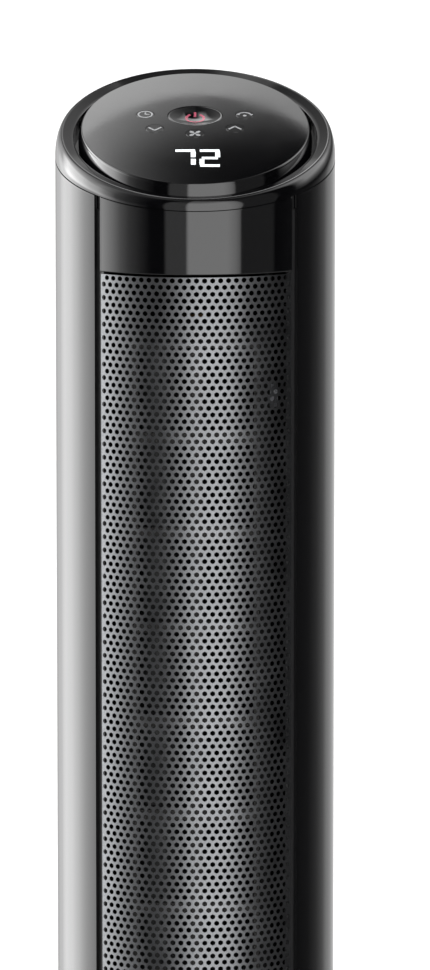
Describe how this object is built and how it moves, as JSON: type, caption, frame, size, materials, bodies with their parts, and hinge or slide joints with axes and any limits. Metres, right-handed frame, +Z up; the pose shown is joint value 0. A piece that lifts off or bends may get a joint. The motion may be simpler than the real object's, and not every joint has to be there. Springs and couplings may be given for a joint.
{
  "type": "tower fan heater",
  "caption": "Round gloss-black tower fan heater with a slanted ring and control disc, a fine perforated front grille and a rear intake, on a swivel base.",
  "frame": {"origin": "on the floor under the middle of the round base", "axes": "+Z up along the column, the front grille faces -Y, +X is to the right as seen from the front"},
  "size_m": [0.25, 0.25, 0.7623],
  "materials": {
    "gloss_black": "gloss",
    "satin_black": "satin",
    "grille_grey": "satin",
    "zinc_steel": "zinc plated",
    "bright_steel": "bright",
    "rubber": "matte",
    "white_nylon": "satin",
    "grey_resin": "matte",
    "aluminium_fins": "satin",
    "copper_wire": "enamelled copper",
    "circuit_green": "satin",
    "bronze": "sintered",
    "foam": "open foam"
  },
  "bodies": {
    "base": {"base_cover": "gloss_black", "base_plate": "zinc_steel", "ballast_ring": "zinc_steel", "rubber_foot_1": "rubber", "rubber_foot_2": "rubber", "rubber_foot_3": "rubber", "rubber_foot_4": "rubber", "base_screw_1": "bright_steel", "base_screw_2": "bright_steel", "base_screw_3": "bright_steel", "swivel_race": "white_nylon", "oscillation_motor": "zinc_steel"},
    "pinion": {"drive_pinion": "white_nylon"},
    "tower": {"tower_floor": "satin_black", "hub_gear": "white_nylon", "hub_nut": "zinc_steel", "rear_shell": "gloss_black", "shell_screw_1": "bright_steel", "shell_screw_2": "bright_steel", "shell_screw_3": "bright_steel", "shell_screw_4": "bright_steel", "front_band_upper": "gloss_black", "front_band_lower": "gloss_black", "grille_sheet": "grille_grey", "grille_rail_left": "satin_black", "grille_rail_right": "satin_black", "top_ring": "gloss_black", "control_cap": "gloss_black", "control_base": "satin_black", "control_board": "circuit_green", "display_module": "grey_resin", "control_screw_1": "bright_steel", "control_screw_2": "bright_steel", "power_board": "circuit_green", "wire_harness": "rubber", "cord_inlet": "rubber", "lower_deck": "grey_resin", "upper_deck": "grey_resin", "upper_bush": "bronze", "motor_stator": "zinc_steel", "motor_coil": "copper_wire", "motor_bracket": "zinc_steel", "scroll_wall": "zinc_steel", "scroll_tongue": "zinc_steel", "heater_core": "aluminium_fins", "heater_frame": "satin_black", "thermal_cutout": "grey_resin", "temperature_sensor": "white_nylon"},
    "blower": {"blower_wheel": "satin_black", "rotor_shaft": "bright_steel", "motor_rotor": "bright_steel"},
    "intake": {"intake_cover": "satin_black", "filter_pad": "foam"},
    "power_button": {"power_button": "gloss_black"},
    "timer_key": {"key_timer": "gloss_black"},
    "down_key": {"key_down": "gloss_black"},
    "mode_key": {"key_mode": "gloss_black"},
    "up_key": {"key_up": "gloss_black"},
    "swing_key": {"key_swing": "gloss_black"}
  },
  "joints": [
    {"name": "tower_swivel", "type": "hinge", "parent": "base", "child": "tower", "pos_m": [0, 0, 0.0376], "axis": [0, 0, 1], "range_deg": [-40, 40]},
    {"name": "pinion_spin", "type": "hinge", "parent": "base", "child": "pinion", "pos_m": [0, 0.0378, 0.0287], "axis": [0, 0, 1], "range_deg": [-165, 165]},
    {"name": "blower_spin", "type": "hinge", "parent": "tower", "child": "blower", "pos_m": [0, 0.012, 0.35], "axis": [0, 0, 1], "continuous": true},
    {"name": "intake_pull", "type": "slide", "parent": "tower", "child": "intake", "axis": [0, 1, 0], "range_m": [0, 0.05]},
    {"name": "power_button_press", "type": "slide", "parent": "tower", "child": "power_button", "axis": [0, 0.3746, -0.9272], "range_m": [0, 0.0012], "stiffness_N_per_m": 600},
    {"name": "timer_key_press", "type": "slide", "parent": "tower", "child": "timer_key", "axis": [0, 0.3746, -0.9272], "range_m": [0, 0.0008], "stiffness_N_per_m": 600},
    {"name": "down_key_press", "type": "slide", "parent": "tower", "child": "down_key", "axis": [0, 0.3746, -0.9272], "range_m": [0, 0.0008], "stiffness_N_per_m": 600},
    {"name": "mode_key_press", "type": "slide", "parent": "tower", "child": "mode_key", "axis": [0, 0.3746, -0.9272], "range_m": [0, 0.0008], "stiffness_N_per_m": 600},
    {"name": "up_key_press", "type": "slide", "parent": "tower", "child": "up_key", "axis": [0, 0.3746, -0.9272], "range_m": [0, 0.0008], "stiffness_N_per_m": 600},
    {"name": "swing_key_press", "type": "slide", "parent": "tower", "child": "swing_key", "axis": [0, 0.3746, -0.9272], "range_m": [0, 0.0008], "stiffness_N_per_m": 600}
  ],
  "couplings": [
    {"joint": "pinion_spin", "follows": "tower_swivel", "ratio": -4}
  ]
}
